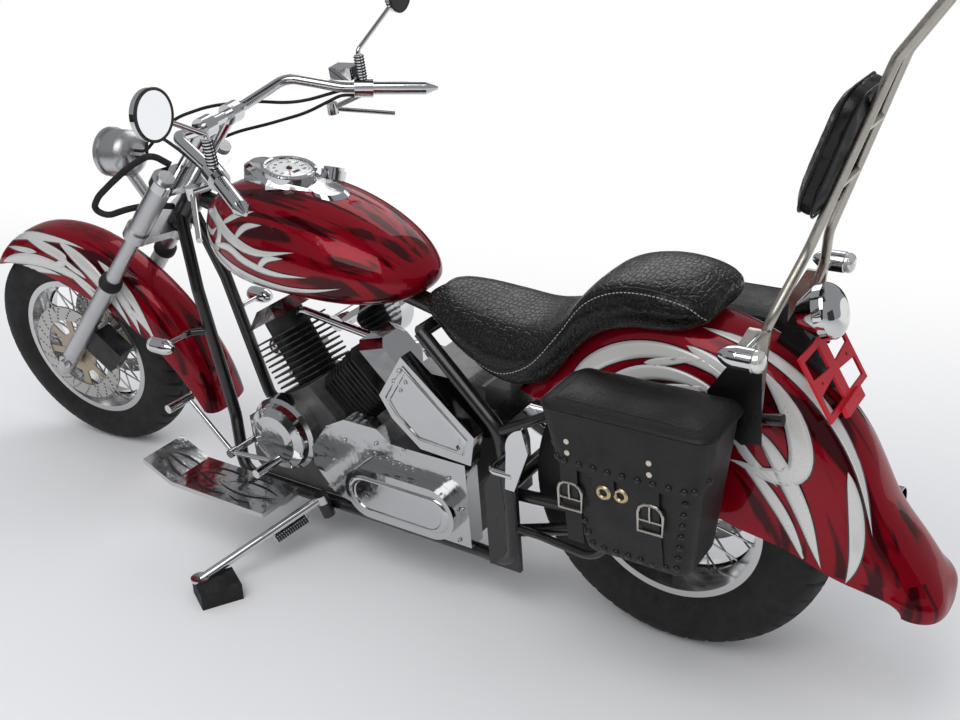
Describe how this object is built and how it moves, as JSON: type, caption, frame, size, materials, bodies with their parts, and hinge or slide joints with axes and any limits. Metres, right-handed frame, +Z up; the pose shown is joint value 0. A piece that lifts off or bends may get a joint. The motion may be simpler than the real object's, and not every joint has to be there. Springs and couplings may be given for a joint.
{
  "type": "chopper motorcycle",
  "caption": "Raked two-wheeled road machine with an open finned V-twin, laced wheels, deep fenders, high bars, backrest bar and leather side bags, leaning on its side stand.",
  "frame": {"origin": "middle of the bounding box at floor level", "axes": "+X is the way the machine faces, +Y the rider's left, +Z up from the floor it is parked on"},
  "size_m": [2.7066, 0.9811, 1.4183],
  "materials": {
    "front_tyre": "matt",
    "front_wheel": "polished",
    "front_discs": "brushed",
    "rear_tyre": "matt",
    "rear_wheel": "polished",
    "rear_disc": "brushed",
    "fork_legs": "satin",
    "lower_clamp": "satin",
    "upper_clamp": "polished",
    "front_axle": "satin",
    "front_calipers": "satin",
    "handlebar": "polished",
    "risers": "polished",
    "grips": "polished",
    "hand_controls": "polished",
    "mirrors": "polished",
    "headlight": "satin",
    "front_fender": "gloss",
    "rear_fender": "gloss",
    "frame": "gloss",
    "swing_arm": "gloss",
    "rear_axle": "satin",
    "final_drive": "satin",
    "rear_caliper": "satin",
    "crankcase": "satin",
    "front_cylinder": "satin",
    "rear_cylinder": "satin",
    "front_head_cover": "polished",
    "rear_head_cover": "polished",
    "generator_cover": "polished",
    "gear_cover": "polished",
    "capsule_cover": "polished",
    "clutch_cover": "polished",
    "air_cleaner": "polished",
    "side_covers": "polished",
    "exhaust": "polished",
    "fuel_tank": "gloss",
    "seat": "embossed",
    "gauge": "polished",
    "fuel_cap": "polished",
    "sissy_bar": "aged",
    "backrest_pad": "smooth",
    "tail_lamp": "polished",
    "plate_frame": "anodised",
    "turn_signals": "polished",
    "bag_lid_left": "grained",
    "saddlebags": "grained",
    "bag_lid_right": "grained",
    "rear_brackets": "gloss",
    "floorboards": "polished",
    "foot_levers": "polished",
    "passenger_pegs": "polished",
    "side_stand": "polished",
    "stand_block": "matt",
    "hoses": "matt",
    "battery_box": "satin"
  },
  "bodies": {
    "chassis": {"rear_fender": "rear_fender", "frame": "frame", "swing_arm": "swing_arm", "rear_axle": "rear_axle", "final_drive": "final_drive", "rear_caliper": "rear_caliper", "crankcase": "crankcase", "front_cylinder": "front_cylinder", "rear_cylinder": "rear_cylinder", "front_head_cover": "front_head_cover", "rear_head_cover": "rear_head_cover", "generator_cover": "generator_cover", "gear_cover": "gear_cover", "capsule_cover": "capsule_cover", "clutch_cover": "clutch_cover", "air_cleaner": "air_cleaner", "side_covers": "side_covers", "exhaust": "exhaust", "fuel_tank": "fuel_tank", "seat": "seat", "gauge": "gauge", "fuel_cap": "fuel_cap", "sissy_bar": "sissy_bar", "backrest_pad": "backrest_pad", "tail_lamp": "tail_lamp", "plate_frame": "plate_frame", "turn_signals": "turn_signals", "saddlebags": "saddlebags", "rear_brackets": "rear_brackets", "floorboards": "floorboards", "foot_levers": "foot_levers", "passenger_pegs": "passenger_pegs", "stand_block": "stand_block", "battery_box": "battery_box"},
    "front_end": {"fork_legs": "fork_legs", "lower_clamp": "lower_clamp", "upper_clamp": "upper_clamp", "front_axle": "front_axle", "front_calipers": "front_calipers", "handlebar": "handlebar", "risers": "risers", "grips": "grips", "hand_controls": "hand_controls", "mirrors": "mirrors", "headlight": "headlight", "front_fender": "front_fender", "hoses": "hoses"},
    "front_wheel_set": {"front_tyre": "front_tyre", "front_wheel": "front_wheel", "front_discs": "front_discs"},
    "rear_wheel_set": {"rear_tyre": "rear_tyre", "rear_wheel": "rear_wheel", "rear_disc": "rear_disc"},
    "stand": {"side_stand": "side_stand"},
    "lid_left": {"bag_lid_left": "bag_lid_left"},
    "lid_right": {"bag_lid_right": "bag_lid_right"}
  },
  "joints": [
    {"name": "steering", "type": "hinge", "parent": "chassis", "child": "front_end", "pos_m": [0.52672, -0.02555, 0.79973], "axis": [-0.6851, 0.0508, 0.7267], "range_deg": [-40.6, 25.4]},
    {"name": "front_wheel_spin", "type": "hinge", "parent": "front_end", "child": "front_wheel_set", "pos_m": [1.03436, -0.05414, 0.31703], "axis": [-0.0963, 0.9825, -0.1595], "continuous": true},
    {"name": "rear_wheel_spin", "type": "hinge", "parent": "chassis", "child": "rear_wheel_set", "pos_m": [-0.80938, -0.05867, 0.32599], "axis": [0, 0.9976, -0.0698], "continuous": true},
    {"name": "side_stand_swing", "type": "hinge", "parent": "chassis", "child": "stand", "pos_m": [0.06944, 0.08671, 0.14], "axis": [0.1445, 0.2569, 0.9556], "range_deg": [0, 95]},
    {"name": "bag_lid_left_hinge", "type": "hinge", "parent": "chassis", "child": "lid_left", "pos_m": [-0.84102, 0.13721, 0.66148], "axis": [1, -0.0001, -0.001], "range_deg": [0, 38]},
    {"name": "bag_lid_right_hinge", "type": "hinge", "parent": "chassis", "child": "lid_right", "pos_m": [-0.84102, -0.20596, 0.68548], "axis": [-1, 0.0001, 0.001], "range_deg": [0, 38]}
  ]
}
